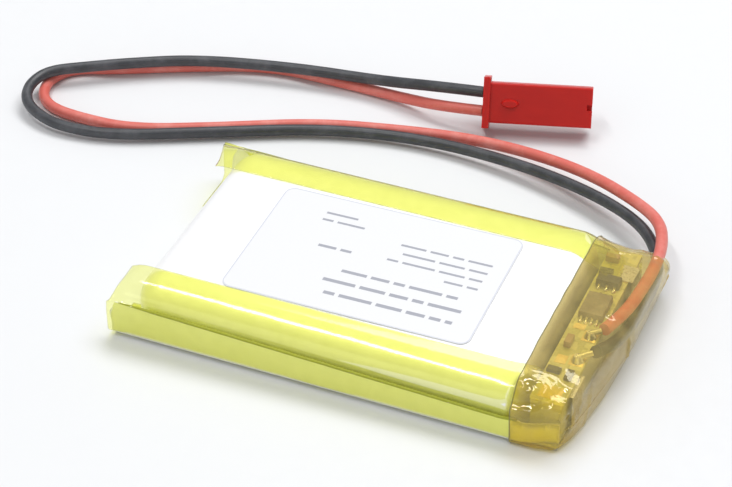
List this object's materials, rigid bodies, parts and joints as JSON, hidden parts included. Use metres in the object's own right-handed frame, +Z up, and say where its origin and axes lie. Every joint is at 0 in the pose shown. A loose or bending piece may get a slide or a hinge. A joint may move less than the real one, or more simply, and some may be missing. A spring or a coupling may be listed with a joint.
{
  "type": "lithium polymer battery pack",
  "caption": "Flat lithium polymer pouch battery with yellow edge tapes, an amber-wrapped protection board and a pair of wires to a small red plug.",
  "frame": {"origin": "under the middle of the pack without its wires and plug, on the surface it lies on", "axes": "+X along the pack to its protection-board end, +Y to the side where the wires come out, +Z up"},
  "size_m": [0.0938, 0.0652, 0.0081],
  "materials": {
    "pouch_foil": "satin laminated aluminium foil, near white",
    "separator_film": "matt white porous film",
    "anode_coating": "matt black graphite coating",
    "cathode_coating": "matt dark grey oxide coating",
    "roll_tape_green": "glossy green polyester tape",
    "tab_aluminium": "rolled aluminium strip",
    "tab_nickel": "rolled nickel strip",
    "seal_film_white": "polypropylene sealing film",
    "foam_grey": "closed-cell foam",
    "board_green": "glass-fibre board with solder mask",
    "pad_gold": "gold-plated copper pads",
    "chip_black": "moulded epoxy",
    "lead_tin": "tinned leads",
    "resistor_dark": "thick-film chip resistor",
    "capacitor_tan": "ceramic chip capacitor",
    "solder": "bright solder",
    "wire_red": "satin silicone-like insulation",
    "wire_black": "satin silicone-like insulation",
    "tape_yellow": "glossy lemon-yellow polyester tape",
    "label_white": "white film label",
    "wrap_amber": "clear amber polyimide film",
    "plug_red": "translucent red nylon",
    "contact_tin": "tinned brass"
  },
  "bodies": {
    "root": {"pouch": "pouch_foil", "separator_inner": "separator_film", "anode_sheet": "anode_coating", "separator_outer": "separator_film", "cathode_sheet": "cathode_coating", "roll_end_tape": "roll_tape_green", "positive_tab": "tab_aluminium", "positive_tab_film": "seal_film_white", "negative_tab": "tab_nickel", "negative_tab_film": "seal_film_white", "nickel_link": "tab_nickel", "foam_block": "foam_grey", "protection_board": "board_green", "board_pads": "pad_gold", "mosfet_pair": "chip_black", "mosfet_pair_leads": "lead_tin", "protection_chip": "chip_black", "protection_chip_leads": "lead_tin", "chip_resistors": "resistor_dark", "chip_capacitors": "capacitor_tan", "red_stripped_end": "lead_tin", "red_solder_joint": "solder", "black_stripped_end": "lead_tin", "black_solder_joint": "solder", "red_wire": "wire_red", "black_wire": "wire_black", "near_edge_tape": "tape_yellow", "far_edge_tape": "tape_yellow", "label": "label_white", "amber_wrap": "wrap_amber", "plug_housing": "plug_red", "red_contact": "contact_tin", "black_contact": "contact_tin"}
  },
  "joints": []
}
